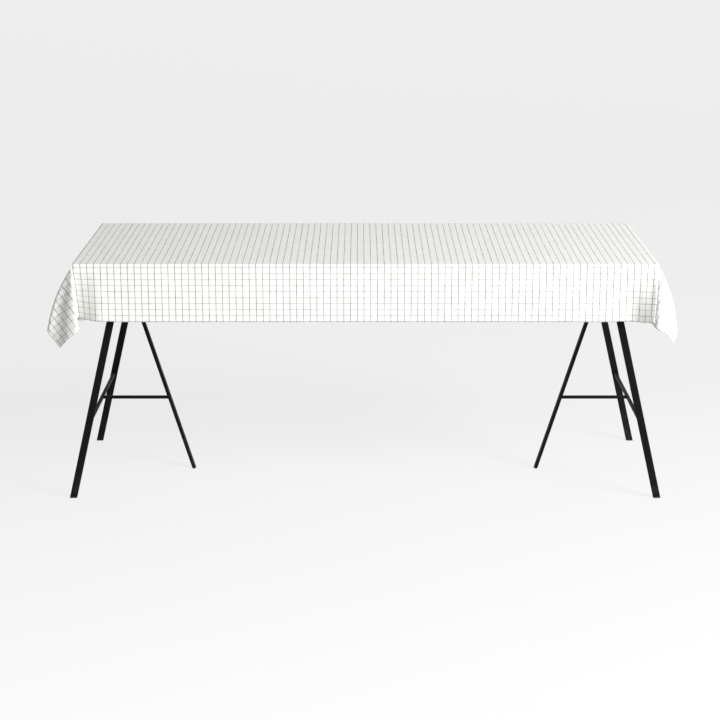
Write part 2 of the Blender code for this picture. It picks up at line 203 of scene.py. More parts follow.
def finished_tree(tree, source, points, pattern, **turned_and_sized):
    """Ends a tree: the pattern copied onto each point, made real and given its material."""
    inputs = {"Points": points, "Instance": pattern, **turned_and_sized}
    copies = add(tree, "GeometryNodeInstanceOnPoints", inputs).outputs["Instances"]
    real = add(tree, "GeometryNodeRealizeInstances", {"Geometry": copies}).outputs["Geometry"]
    given = add(tree, "GeometryNodeSetMaterial", {"Geometry": real, "Material": source["Material"]})
    add(tree, "NodeGroupOutput", {"Geometry": given.outputs["Geometry"]})
    return tree


def grown(obj, tree, values):
    """Runs the tree on the object, with the inputs named in values, and leaves a plain mesh."""
    modifier = obj.modifiers.new(tree.name, "NODES")
    modifier.node_group = tree
    for item in tree.interface.items_tree:
        if item.in_out == "INPUT" and item.name in values:
            modifier[item.identifier] = values[item.name]
    made = baked(obj)
    made.data.shade_smooth()
    return made


# ---- materials ----------------------------------------------------------------
WEAVE_THREAD = 0.9 * MM  # real threads lie 0.4 mm apart, which is too fine to show
BLEACH_UNEVEN = (0.95, 0.95, 0.94)  # the colour of the duller patches, as shares of the yarn's
CROSSING = 0.8
BAND_EDGE = (0.7, 1.3)  # where a band's soft edge starts and ends, as shares of its half width
SCUFF_HEIGHT = 0.15
# The paper's painted glow: painted brighter towards the lamp and dimmer away from it, as the lamp's light
# would fall.
PAPER_GLOW = (0.895, 0.79)  # towards the lamp, and away from it
GLOW_RUN = (-1.8, 0.4)  # the metres behind the table's middle over which the glow changes
LAMP_SIDE = 0.35  # how much the glow follows the lamp's side, against its front


def woven_cotton(settings):
    """Bleached plain-weave cotton with a woven check of dark yarn: matt, fuzzy, never quite even."""
    soft = {"Sheen Weight": 0.15, "Sheen Roughness": 0.6, "Specular IOR Level": 0.15}
    material, tree, shader = new_material("woven_cotton_check", settings.yarn, 0.92, soft)
    place = add(tree, "ShaderNodeUVMap", uv_map="cut").outputs["UV"]
    split = add(tree, "ShaderNodeSeparateXYZ", {"Vector": place})
    along, across = split.outputs["X"], split.outputs["Y"]
    slub = noise(tree, place, 260.0, 3.0, Roughness=0.6)

    def band(position, spacing, shift, stretch, faintest, darkest):
        """How dark a yarn band is: 1 in its middle, with soft edges, and paler where the yarn runs thin."""
        turn = sums(tree, "PINGPONG", sums(tree, "ADD", position, shift), spacing / 2)
        start, end = (share * settings.line_width / 2 for share in BAND_EDGE)
        edge = ranged(tree, turn, start, end, 1.0, 0.0)
        stretched = add(tree, "ShaderNodeMapping", {"Vector": place, "Scale": stretch}).outputs["Vector"]
        thin = noise(tree, stretched, 60.0, 3.0, Roughness=0.7)
        return sums(tree, "MULTIPLY", edge, ranged(tree, thin, 0.35, 0.62, faintest, darkest))

    # The bands along the cut's length are a row of dashes, as the white weft covers them here and there.
    crosswise = band(along, settings.check_long, settings.check_shift, (1.0, 0.35, 1.0), 0.55, 0.98)
    lengthwise = band(across, settings.check_across, 0.0, (0.35, 1.0, 1.0), 0.25, 0.62)
    both = sums(tree, "MULTIPLY", crosswise, lengthwise)
    dark = sums(tree, "MAXIMUM", crosswise, lengthwise)
    dark = sums(tree, "MINIMUM", sums(tree, "ADD", dark, sums(tree, "MULTIPLY", both, CROSSING)), 1.0)

    cotton = hex_colour(settings.yarn)
    dull = (*(level * channel for level, channel in zip(BLEACH_UNEVEN, cotton)), 1.0)
    bleached = mixed(tree, noise(tree, place, 9.0, 4.0), dull, cotton)
    checked = mixed(tree, dark, bleached, hex_colour(settings.dark_yarn))
    tree.links.new(checked, shader.inputs["Base Color"])

    warp = sums(tree, "SINE", sums(tree, "MULTIPLY", along, math.pi / WEAVE_THREAD))
    weft = sums(tree, "SINE", sums(tree, "MULTIPLY", across, math.pi / WEAVE_THREAD))
    over = sums(tree, "ABSOLUTE", sums(tree, "MULTIPLY", warp, weft))
    raise_by(tree, shader, sums(tree, "ADD", over, sums(tree, "MULTIPLY", slub, 0.6)), 0.35, 0.15 * MM)
    return material


def cotton_thread(settings):
    """Bleached cotton sewing thread: matt, with its two plies just visible."""
    material, tree, shader = new_material("cotton_thread", "#F0EFEA", 0.9)
    raise_by(tree, shader, noise(tree, own_place(tree), 2500.0, 1.0), 0.4, 0.05 * MM)
    return material


def powder_coat(settings):
    """Matt black powder coat on steel: fine orange peel, uneven gloss, and scuffs near the floor."""
    matt = {"Specular IOR Level": 0.12}
    material, tree, shader = new_material("polyester_powder_coat", settings.coat, 0.62, matt)
    place = own_place(tree)
    height = add(tree, "ShaderNodeSeparateXYZ", {"Vector": place}).outputs["Z"]
    low = ranged(tree, height, 0.0, SCUFF_HEIGHT, 1.0, 0.0)
    often = ranged(tree, noise(tree, place, 55.0, 5.0), 0.45, 0.7, 0.0, 1.0)
    scuffs = sums(tree, "MULTIPLY", low, often)
    coat = mixed(tree, scuffs, hex_colour(settings.coat), hex_colour("#262524"))
    tree.links.new(coat, shader.inputs["Base Color"])
    gloss = ranged(tree, noise(tree, place, 22.0, 5.0), 0.35, 0.7, 0.54, 0.72)
    tree.links.new(gloss, shader.inputs["Roughness"])
    raise_by(tree, shader, noise(tree, place, 900.0, 2.0), 0.25, 0.08 * MM)
    return material


def moulded_plastic(settings):
    """Black moulded polyethylene: a fine spark-eroded grain with a soft sheen."""
    material, tree, shader = new_material("moulded_black_polyethylene", settings.plastic, 0.55)
    raise_by(tree, shader, noise(tree, own_place(tree), 1800.0, 3.0), 0.3, 0.05 * MM)
    return material


def grip_rubber(settings):
    """Black nitrile rubber: dull, paler on the patches that its bump raises and darker in its low spots."""
    material, tree, shader = new_material("nitrile_rubber", "#1B1B1B", 0.85)
    # One noise gives both the colour and the bump: the raised patches are paler, the low spots darker.
    raised_patches = noise(tree, own_place(tree), 60.0, 6.0)
    patch_colour = mixed(tree, raised_patches, hex_colour("#161616"), hex_colour("#2A2927"))
    tree.links.new(patch_colour, shader.inputs["Base Color"])
    raise_by(tree, shader, raised_patches, 0.2, 0.1 * MM)
    return material


def black_oxide(settings):
    """Black-oxide alloy steel screws: dark, oily and a little shiny."""
    material, tree, shader = new_material("chemically_blacked_steel", "#262626", 0.38, {"Metallic": 1.0})
    oil = noise(tree, own_place(tree), 350.0, 3.0)
    tree.links.new(ranged(tree, oil, 0.0, 1.0, 0.28, 0.5), shader.inputs["Roughness"])
    return material


def melamine(settings):
    """White melamine laminate: a satin face with a faint pearl texture."""
    material, tree, shader = new_material("white_melamine", "#E9E9E6", 0.42)
    raise_by(tree, shader, noise(tree, own_place(tree), 700.0, 2.0), 0.15, 0.05 * MM)
    return material


def particle_board(settings):
    """Raw particle board: pressed chips of pale and brown wood, 2 to 5 mm across."""
    material, tree, shader = new_material("raw_particle_board", "#B79B74", 0.9)
    chips = add(tree, "ShaderNodeTexVoronoi", {"Vector": own_place(tree), "Scale": 300.0}).outputs["Color"]
    tone = add(tree, "ShaderNodeSeparateColor", {"Color": chips}).outputs["Red"]
    wood = mixed(tree, tone, hex_colour("#8E7350"), hex_colour("#CDB48D"))
    tree.links.new(wood, shader.inputs["Base Color"])
    raise_by(tree, shader, tone, 0.5, 0.2 * MM)
    return material


def painted_glow_floor():
    """White studio paper with painted light: it glows a little, so that shadows stay faint, and its glow is
    painted brighter towards the lamp.
    """
    glowing = {"Specular IOR Level": 0.0, "Emission Color": (1, 1, 1, 1)}
    material, tree, shader = new_material("lit_studio_paper", "#505050", 0.95, glowing)
    split = add(tree, "ShaderNodeSeparateXYZ", {"Vector": own_place(tree)})
    aside = sums(tree, "MULTIPLY", split.outputs["X"], LAMP_SIDE)
    from_lamp = sums(tree, "SUBTRACT", split.outputs["Y"], aside)
    # Painted light: the glow is painted stronger on the lamp's side of the paper and weaker away from it.
    tree.links.new(ranged(tree, from_lamp, *GLOW_RUN, *PAPER_GLOW), shader.inputs["Emission Strength"])
    return material


def dress(obj, material):
    """Gives the whole object one material."""
    obj.data.materials.clear()
    obj.data.materials.append(material)
    return obj


def finish(name, maker, settings):
    """The material of that name, made the first time it is asked for."""
    return bpy.data.materials.get(name) or maker(settings)


# ---- mesh helpers -------------------------------------------------------------
def linked(name, data):
    """An object in the scene that holds the data."""
    obj = bpy.data.objects.new(name, data)
    bpy.context.scene.collection.objects.link(obj)
    return obj


def mesh_object(name, points, faces, smooth=True):
    """An object made from points and faces."""
    mesh = bpy.data.meshes.new(name)
    mesh.from_pydata([tuple(p) for p in points], [], faces)
    mesh.validate()
    if smooth:
        mesh.shade_smooth()
    return linked(name, mesh)


def worked(name, work):
    """An object made from a bmesh, smooth but for its sharp edges; it frees the bmesh."""
    mesh = bpy.data.meshes.new(name)
    work.to_mesh(mesh)
    work.free()
    mesh.shade_smooth()
    mesh.set_sharp_from_angle(angle=SHARP_ANGLE)
    return linked(name, mesh)


def baked(obj):
    """Replaces the object with a plain mesh of its evaluated shape."""
    bpy.context.view_layer.update()
    graph = bpy.context.evaluated_depsgraph_get()
    mesh = bpy.data.meshes.new_from_object(obj.evaluated_get(graph), depsgraph=graph)
    name = obj.name
    bpy.data.objects.remove(obj)
    mesh.name = name
    return linked(name, mesh)


# ---- the cloth ----------------------------------------------------------------
CLOTH_REST = 0.8 * MM  # from the board to the middle of the cloth's thickness
CLOTH_WALL = 0.6 * MM
FINE_STEP = 9.4 * MM  # rows of the simulated mesh near the corners, and the width of the hem
FOLD_REACH = 0.17  # how far from a corner the drop isn't flat
CREASE_STEP = 2.5 * MM
WIDE_STEP = 48 * MM
TAUT = 0.992  # a hanging fold's chord, as a share of the cloth along it
BULGE = 0.055  # how far a fold bellies out half-way down, as a share of its length
FULL_BULGE_AT = 60 * MM  # for folds whose hem stands out this far or further
SPLINE_STEPS = 40
HANG_ROUNDS = 40
SETTLE_FRAMES = 16
FIT_ROUNDS = 4  # each fits the front's share of the hem, and then the end's
FOLD_SPREAD = 3.5  # the most that a fold's moving points may be spread to use up its hem
EASE = 0.4  # how far each round moves the hem towards its reach
STOP_INSET = 1.2 * MM  # the simulation keeps cloth 2 mm off the board, and it should lie closer

# The two ways in which the cloth folds at a corner, as the hem's plan from the flat front to the flat
# end in millimetres: (out past the end, out past the front). "tip" is the cut's own corner. The points
# numbered in "front" and "end" move away from or towards the place given, to use up the hem's length.
FOLDS = {
    "tucked": {
        "plan": [
            (-120, 0), (-69, 0), (-40, -14), (-12, -30), (4, -26), (0, 10), (-20, 46), (13, 44),
            (43, 24), (62, 18), (80, 16), (78, -6), (40, -38), (-20, -54), (-26, -80), (0, -98),
            (0, -140),
        ],
        "tip": 8,
        "front": ((-20, 0), [3, 4]),
        "end": ((0, -68), [12, 13, 14]),
    },
    "flared": {
        "plan": [
            (-120, 0), (-78, 0), (-60, 6), (-40, 20), (-22, 34), (-12, 41), (-13, 32), (-17, 18),
            (-15, 9), (-11, 17), (-8, 31), (-3, 39), (8, 40), (24, 33), (40, 16), (58, -14),
            (72, -38), (58, -58), (10, -50), (-40, -45), (-55, -58), (-40, -72), (0, -80),
            (0, -130),
        ],
        "tip": 15,
        "front": ((-10, 34), [7, 8, 9]),
        "end": ((0, -62), [18, 19, 20, 21]),
    },
}
CORNERS = {(-1, -1): "tucked", (1, -1): "flared", (1, 1): "tucked", (-1, 1): "flared"}


def spline(points):
    """A smooth plane curve through the points, with SPLINE_STEPS places in each of its spans."""
    knots = np.vstack([2 * points[0] - points[1], points, 2 * points[-1] - points[-2]])
    times = np.concatenate([[0], np.cumsum(np.hypot(*np.diff(knots, axis=0).T) ** 0.5)])
    gaps = np.diff(times)[:, None]
    slopes = np.diff(knots, axis=0) / gaps
    across = (knots[2:] - knots[:-2]) / (times[2:] - times[:-2])[:, None]
    tangents = slopes[:-1] - across + slopes[1:]
    spans = []
    for i in range(len(points) - 1):
        h = np.linspace(0, 1, SPLINE_STEPS, endpoint=i == len(points) - 2)[:, None]
        spans.append(
            (2 * h**3 - 3 * h**2 + 1) * points[i]
            + (h**3 - 2 * h**2 + h) * gaps[i + 1] * tangents[i]
            + (3 * h**2 - 2 * h**3) * points[i + 1]
            + (h**3 - h**2) * gaps[i + 1] * tangents[i + 1]
        )
    return np.vstack(spans)


def halved(low, high, too_low, rounds=24):
    """The value between low and high where too_low turns false."""
    for _ in range(rounds):
        middle = (low + high) / 2
        if too_low(middle):
            low = middle
        else:
            high = middle
    return high


class CornerFold:
    """How one corner hangs: its hem in space, which keeps the cut hem's length, and the cloth above it.

    Places are (out past the end, out past the front), from the crease's corner. Along the hem they
    are counted from the cut's own corner, with the front hem below zero and the end hem above.
    """

    def __init__(self, shape, front_cut, end_cut):
        self.front_cut, self.end_cut = front_cut, end_cut
        self.points = np.array(shape["plan"]) * MM
        moves = {"front": 1.0, "end": 1.0}

        def moved():
            points = self.points.copy()
            for key, share in moves.items():
                about, chosen = shape[key]
                centre = np.array(about) * MM
                points[chosen] = centre + (points[chosen] - centre) * share
            return points

        def short(key, share):
            moves[key] = share
            _, _, along = self.hang(moved())
            if key == "front":
                return along[shape["tip"] * SPLINE_STEPS] < 0
            return along[-1] < front_cut - self.points[-1][1]

        for _ in range(FIT_ROUNDS):
            for key in moves:
                moves[key] = halved(0.0, FOLD_SPREAD, lambda share: short(key, share))
        self.plan, self.down, self.along = self.hang(moved())

    def roots(self, along):
        """Where the cloth above a place on the hem starts on the crease."""
        out_end = np.where(along < 0, np.minimum(self.end_cut + along, 0), 0)
        out_front = np.where(along < 0, 0, np.minimum(self.front_cut - along, 0))
        return out_end, out_front

    def hang(self, points):
        """The hem's plan, how far down it is, and how far along the hem each place lies."""
        plan = spline(points)
        run = np.hypot(*np.diff(plan, axis=0).T)
        down = np.full(len(plan), self.front_cut)
        for _ in range(HANG_ROUNDS):
            lengths = np.hypot(run, np.diff(down))
            along = points[0][0] - self.end_cut + np.concatenate([[0], np.cumsum(lengths)])
            past_end = np.where(along < 0, np.maximum(self.end_cut + along, 0), self.end_cut)
            past_front = np.where(along < 0, self.front_cut, np.maximum(self.front_cut - along, 0))
            root_end, root_front = self.roots(along)
            reach = np.hypot(past_end, past_front) * TAUT
            level = (plan[:, 0] - root_end) ** 2 + (plan[:, 1] - root_front) ** 2
            hung = np.sqrt(np.maximum(reach**2 - level, MM**2))
            down = (1 - EASE) * down + EASE * hung
        return plan, down, along

    def place(self, a, b):
        """Where cloth at a past the end crease and b past the front crease hangs: three arrays."""
        corner = (a > 0) & (b > 0)
        safe_a, safe_b = np.where(a == 0, MM, a), np.where(b == 0, MM, b)
        on_front = b * self.end_cut >= a * self.front_cut
        before_tip = a / safe_b * self.front_cut - self.end_cut
        after_tip = self.front_cut - b / safe_a * self.end_cut
        along = np.where(
            corner,
            np.where(on_front, before_tip, after_tip),
            np.where(b > 0, a - self.end_cut, self.front_cut - b),
        )
        share = np.where(on_front, b / self.front_cut, a / self.end_cut)

        def hem(curve, before, after):
            folded_part = np.interp(along, self.along, curve)
            flat_after = np.where(along > self.along[-1], after, folded_part)
            return np.where(along < self.along[0], before, flat_after)

        hem_end = hem(self.plan[:, 0], along + self.end_cut, 0)
        hem_front = hem(self.plan[:, 1], 0, self.front_cut - along)
        hem_down = hem(self.down, self.front_cut, self.end_cut)
        root_end, root_front = self.roots(along)
        out = np.hypot(np.maximum(hem_end, 0), np.maximum(hem_front, 0))
        to_hem = np.hypot(a, b) / np.maximum(share, MM)
        bulge = np.where(corner, BULGE * to_hem * np.sin(np.pi * share), 0)
        bulge *= np.minimum(out / FULL_BULGE_AT, 1) / np.maximum(out, MM)
        return (
            root_end + (hem_end - root_end) * share + bulge * np.maximum(hem_end, 0),
            root_front + (hem_front - root_front) * share + bulge * np.maximum(hem_front, 0),
            hem_down * share,
        )


def stops(half, drop):
    """Where the mesh's rows lie, from one hem to the other, for a sheet half that wide on the board."""

    def fine(start, end):
        return np.linspace(half + start, half + end, round(abs(end - start) / FINE_STEP) + 1)

    outside, near = fine(drop, CREASE_STEP), fine(-CREASE_STEP, -FOLD_REACH)
    far = np.linspace(half - FOLD_REACH, 0, math.ceil((half - FOLD_REACH) / WIDE_STEP) + 1)[1:-1]
    side = np.concatenate([outside, [half], near, far])
    return np.concatenate([-side, [0.0], side[::-1]])


def folded(u, v, half, top, drops):
    """Where each point of the flat sheet starts: on the board, or hanging in its corner's fold."""
    place = np.stack([u, v, np.full_like(u, top)], axis=1)
    a, b = np.abs(u) - half[0], np.abs(v) - half[1]
    hangs = (a > 0) | (b > 0)
    made = {name: CornerFold(shape, drops[1], drops[0]) for name, shape in FOLDS.items()}
    for (sx, sy), name in CORNERS.items():
        mine = hangs & (np.where(u < 0, -1, 1) == sx) & (np.where(v < 0, -1, 1) == sy)
        out_end, out_front, down = made[name].place(a[mine], b[mine])
        x, y = half[0] + out_end, half[1] + out_front
        beside = (down < BOARD_HIGH.z - BOARD_LOW.z + 2 * CLOTH_REST) & (out_end < 0) & (out_front < 0)
        x = np.where(beside & (out_end >= out_front), half[0], x)
        y = np.where(beside & (out_end < out_front), half[1], y)
        place[mine] = np.stack([sx * x, sy * y, top - down], axis=1)
    return place


def hidden_board():
    """The board as the cloth feels it: a box that only the simulation uses."""
    xs, ys, zs = ((low + STOP_INSET, high - STOP_INSET) for low, high in zip(BOARD_LOW, BOARD_HIGH))
    points = [(x, y, z) for z in zs for y in ys for x in xs]
    faces = [(0, 2, 3, 1), (4, 5, 7, 6), (0, 1, 5, 4), (2, 6, 7, 3), (0, 4, 6, 2), (1, 3, 7, 5)]
    board = mesh_object("board_stop", points, faces, smooth=False)
    board.modifiers.new("stop", "COLLISION")
    board.collision.thickness_outer = 1 * MM
    board.collision.thickness_inner = 8 * MM
    board.collision.cloth_friction = 8
    return board


def settled(start, flat, faces, held):
    """The cloth's points after it has settled from its folded start, with some of them held."""
    sheet = mesh_object("settling_cloth", start, faces)
    pinned = sheet.vertex_groups.new(name="held")
    pinned.add(np.nonzero(held)[0].tolist(), 1.0, "REPLACE")
    sheet.shape_key_add(name="Basis")
    cut = sheet.shape_key_add(name="flat")
    cut.data.foreach_set("co", flat.astype(np.float32).ravel())
    board = hidden_board()
    cloth = sheet.modifiers.new("drape", "CLOTH")
    cloth.settings.rest_shape_key = cut
    cloth.settings.vertex_group_mass = "held"
    cloth.settings.quality = 6
    cloth.settings.mass = 0.02
    cloth.settings.tension_stiffness = 40
    cloth.settings.compression_stiffness = 40
    cloth.settings.shear_stiffness = 15
    cloth.settings.bending_stiffness = 1.0
    cloth.settings.air_damping = 1.5
    cloth.collision_settings.distance_min = 1 * MM
    cloth.collision_settings.collision_quality = 3
    cloth.point_cache.frame_start = 1
    cloth.point_cache.frame_end = SETTLE_FRAMES
    for step in range(1, SETTLE_FRAMES + 1):
        bpy.context.scene.frame_set(step)
    done = baked(sheet)
    points = np.empty(len(done.data.vertices) * 3, dtype=np.float32)
    done.data.vertices.foreach_get("co", points)
    bpy.data.objects.remove(done)
    bpy.data.objects.remove(board)
    return points.reshape(-1, 3).astype(float)


def refined(grid):
    """A grid of rows and columns with twice as many steps each way, rounded off between them."""
    for _ in range(2):
        finer = np.empty((2 * len(grid) - 1, *grid.shape[1:]))
        finer[1::2] = (grid[:-1] + grid[1:]) / 2
        finer[2:-1:2] = (grid[:-2] + 6 * grid[1:-1] + grid[2:]) / 8
        finer[0], finer[-1] = grid[0], grid[-1]
        grid = finer.swapaxes(0, 1)
    return grid


def grid_normals(grid):
    """Unit normals of a grid of points; they point up where the cloth lies on the board."""
    across = np.cross(np.gradient(grid, axis=1), np.gradient(grid, axis=0))
    return across / np.linalg.norm(across, axis=2, keepdims=True)


class DrapedCloth:
    """The middle surface of the hanging cloth, as a fine grid with its places on the cut."""

    def __init__(self, settings):
        half = (BOARD_HIGH.x + CLOTH_REST, BOARD_HIGH.y + CLOTH_REST)
        top = BOARD_HIGH.z + CLOTH_REST
        drops = (settings.end_drop - CLOTH_REST, settings.front_drop - CLOTH_REST)
        columns, rows = stops(half[0], drops[0]), stops(half[1], drops[1])
        u, v = (grid.ravel() for grid in np.meshgrid(columns, rows))
        wide = len(columns)
        faces = [
            (j * wide + i, j * wide + i + 1, (j + 1) * wide + i + 1, (j + 1) * wide + i)
            for j in range(len(rows) - 1)
            for i in range(wide - 1)
        ]
        place = folded(u, v, half, top, drops)
        on_board = (np.abs(u) <= half[0] + MM / 100) & (np.abs(v) <= half[1] + MM / 100)
        on_hem = (np.abs(u) >= columns[-1] - MM) | (np.abs(v) >= rows[-1] - MM)
        flat = np.stack([u, v, np.full_like(u, top)], axis=1)
        place = settled(place, flat, faces, on_board | on_hem)
        self.grid = refined(place.reshape(len(rows), wide, 3))
        self.cut = refined(np.stack([u, v], axis=1).reshape(len(rows), wide, 2))
        self.normals = grid_normals(self.grid)

    def shell(self, name, outer, inner, keep):
        """A closed thin shell between two distances from the middle surface, over the cells to keep."""
        tall, wide = self.grid.shape[:2]
        layers = [self.grid + self.normals * distance for distance in (outer, inner)]
        points = np.concatenate([layer.reshape(-1, 3) for layer in layers])
        second = tall * wide
        faces, sides = [], {}
        for j, i in zip(*np.nonzero(keep)):
            ring = (j * wide + i, j * wide + i + 1, (j + 1) * wide + i + 1, (j + 1) * wide + i)
            faces.append(ring)
            faces.append(tuple(second + k for k in reversed(ring)))
            for start, end in zip(ring, ring[1:] + ring[:1]):
                if sides.pop((end, start), None) is None:
                    sides[(start, end)] = True
        faces += [(end, start, second + start, second + end) for start, end in sides]
        used = sorted({index for face in faces for index in face})
        number = {index: k for k, index in enumerate(used)}
        faces = [tuple(number[index] for index in face) for face in faces]
        made = mesh_object(name, points[used], faces)
        corners = np.empty(len(made.data.loops), dtype=np.int32)
        made.data.loops.foreach_get("vertex_index", corners)
        cut = np.tile(self.cut.reshape(-1, 2), (2, 1))[used][corners]
        made.data.uv_layers.new(name="cut").data.foreach_set("uv", cut.astype(np.float32).ravel())
        return made

    def seam(self, rows_in, height):
        """A loop rows_in cells from the hem, at that height above the middle: its points and normals."""
        low = int(rows_in)
        share = rows_in - low

        def around(body):
            return np.concatenate([body[0, :-1], body[:-1, -1], body[-1, :0:-1], body[:0:-1, 0]])

        def loop(values):
            # The ring further in has fewer places, so its ends are repeated at the corners.
            tall, wide = values.shape[:2]
            further_in = values[low + 1 : tall - low - 1, low + 1 : wide - low - 1]
            inner = around(np.pad(further_in, ((1, 1), (1, 1), (0, 0)), mode="edge"))
            return around(values[low : tall - low, low : wide - low]) * (1 - share) + inner * share

        normals = loop(self.normals)
        normals /= np.linalg.norm(normals, axis=1, keepdims=True)
        return loop(self.grid) + normals * height, normals


HEM_CELLS = 2  # of the fine grid
HEM_WALL = 1.0 * MM  # the two layers that are folded under
HEM_GAP = 0.05 * MM
SEAM_CELLS = 1.6
STITCH_PITCH = 4.0 * MM
STITCH_LENGTH = 2.9 * MM
THREAD = 0.5 * MM


def stitch_tree():
    """Geometry Nodes that lay short arched threads along a loop, flat against the cloth below it."""
    sizes = {"Pitch": STITCH_PITCH, "Stitch Length": STITCH_LENGTH, "Thread": THREAD}
    tree, source = geometry_tree("hem_stitches", sizes)

    def at(**axes):
        return add(tree, "ShaderNodeCombineXYZ", axes).outputs[0]

    places, tangent = evenly_along(tree, source)
    away = add(tree, "GeometryNodeInputNamedAttribute", {"Name": "away"}, data_type="FLOAT_VECTOR")
    along = add(tree, "FunctionNodeAlignRotationToVector", {"Vector": tangent}, axis="X")
    aimed = add(
        tree,
        "FunctionNodeAlignRotationToVector",
        {"Rotation": along.outputs["Rotation"], "Vector": away.outputs["Attribute"]},
        axis="Z",
        pivot_axis="X",
    )
    half = sums(tree, "MULTIPLY", source["Stitch Length"], 0.5)
    start = sums(tree, "MULTIPLY", half, -1.0)
    arch = add(
        tree,
        "GeometryNodeCurveQuadraticBezier",
        {"Resolution": 4, "Start": at(X=start), "Middle": at(Z=source["Thread"]), "End": at(X=half)},
    )
    radius = sums(tree, "MULTIPLY", source["Thread"], 0.5)
    section = add(tree, "GeometryNodeCurvePrimitiveCircle", {"Resolution": 6, "Radius": radius})
    thread = add(
        tree,
        "GeometryNodeCurveToMesh",
        {"Curve": arch.outputs["Curve"], "Profile Curve": section.outputs["Curve"], "Fill Caps": True},
    )
    return finished_tree(tree, source, places, thread.outputs["Mesh"], Rotation=aimed.outputs["Rotation"])


def sew(cloth, material):
    """The row of stitches that holds the hem, on the cloth's outer face."""
    points, normals = cloth.seam(SEAM_CELLS, CLOTH_WALL / 2)
    count = len(points)
    loop = bpy.data.meshes.new("hem_stitches")
    loop.from_pydata([tuple(p) for p in points], [(i, (i + 1) % count) for i in range(count)], [])
    away = loop.attributes.new("away", "FLOAT_VECTOR", "POINT")
    away.data.foreach_set("vector", normals.astype(np.float32).ravel())
    return grown(linked("hem_stitches", loop), stitch_tree(), {"Material": material})


class TABLECLOTH_OT_drape(bpy.types.Operator):
    """Drape the checked cloth over the board, and hem it"""

    bl_idname = "tablecloth.drape"
    bl_label = "Drape the Tablecloth"

    def execute(self, context):
        settings = context.scene.tablecloth
        cotton = finish("woven_cotton_check", woven_cotton, settings)
        cloth = DrapedCloth(settings)
        everywhere = np.ones(np.array(cloth.grid.shape[:2]) - 1, dtype=bool)
        border = everywhere.copy()
        border[HEM_CELLS:-HEM_CELLS, HEM_CELLS:-HEM_CELLS] = False
        face, inner = CLOTH_WALL / 2, -CLOTH_WALL / 2 - HEM_GAP
        sheet = dress(cloth.shell("tablecloth_sheet", face, -face, everywhere), cotton)
        hem = dress(cloth.shell("tablecloth_hem", inner, inner - HEM_WALL, border), cotton)
        stitches = sew(cloth, finish("cotton_thread", cotton_thread, settings))
        for piece in (sheet, hem, stitches):
            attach(piece, "tablecloth")
        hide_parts("tablecloth")
        return {"FINISHED"}


# ---- the rest of the table ----------------------------------------------------
FINISH_MAKERS = {
    "powder_coated_steel": ("polyester_powder_coat", powder_coat),
    "black_plastic": ("moulded_black_polyethylene", moulded_plastic),
    "black_rubber": ("nitrile_rubber", grip_rubber),
    "black_oxide_steel": ("chemically_blacked_steel", black_oxide),
    "white_laminate": ("white_melamine", melamine),
    "particle_board": ("raw_particle_board", particle_board),
}
# How wide the rounding on each kind of piece is.
ROUNDING = {
    "edge_band": 0.8 * MM,
    "head_rail": 0.5 * MM,
    "rail_cap": 0.9 * MM,
    "outer_leg": 0.35 * MM,
    "inner_leg": 0.35 * MM,
    "outer_foot": 0.7 * MM,
    "inner_foot": 0.7 * MM,
    "leg_plate": 0.5 * MM,
    "cross_bar": 0.8 * MM,
    "tie_bar": 0.8 * MM,
}
ROUNDING_STEPS = 3
RIB_PITCH = 4.0 * MM
RIB_HEIGHT = 0.8 * MM
RIB_PROFILE = ((0.0, 1.0), (0.15, 0.2), (0.3, 0.0), (0.7, 0.0), (0.85, 0.2))  # (along, below the top)


def finish_of(slot_name, settings):
    """The material for a slot of the frame."""
    return finish(*FINISH_MAKERS[slot_name], settings)


def body_of(node):
    """The body that a piece made for this node rides on."""
    for side in SIDE_WORDS:
        if node.startswith(side):
            return f"{side}_trestle"
    return "tabletop"


def rounded(node, width):
    """A copy of a CAD node's mesh, joined up and with its sharp edges rounded."""
    work = bmesh.new()
    work.from_mesh(frame["nodes"][node].data)
    bmesh.ops.remove_doubles(work, verts=work.verts, dist=MM / 50)
    bmesh.ops.dissolve_limit(work, angle_limit=math.radians(1), verts=work.verts, edges=work.edges)
    sharp = [e for e in work.edges if len(e.link_faces) == 2 and e.calc_face_angle() > SHARP_ANGLE]
    bmesh.ops.bevel(
        work,
        geom=sharp,
        offset=width,
        segments=ROUNDING_STEPS,
        profile=0.5,
        affect="EDGES",
        clamp_overlap=True,
    )
    return worked(f"{node}_rounded", work)


def ribbed_pad(node):
    """A rubber pad with ribs across it, in the room of its CAD node."""
    low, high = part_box(node)
    ribs = round((high[1] - low[1]) / RIB_PITCH)
    step = (high[1] - low[1]) / ribs
    outline = [
        (low[1] + (i + along) * step, high[2] - below * RIB_HEIGHT)
        for i in range(ribs)
        for along, below in RIB_PROFILE
    ]
    outline += [(high[1], high[2] - RIB_HEIGHT), (high[1], low[2]), (low[1], low[2])]
    count = len(outline)
    points = [(x, y, z) for x in (low[0], high[0]) for y, z in outline]
    faces = [(i, (i + 1) % count, count + (i + 1) % count, count + i) for i in range(count)]
    faces += [tuple(range(count))[::-1], tuple(range(count, 2 * count))]
    return outward(mesh_object(f"{node}_ribbed", points, faces, smooth=False))


def outward(obj):
    """Turns the object's faces to point outwards."""
    work = bmesh.new()
    work.from_mesh(obj.data)
    bmesh.ops.recalc_face_normals(work, faces=work.faces)
    work.to_mesh(obj.data)
    work.free()
    return obj


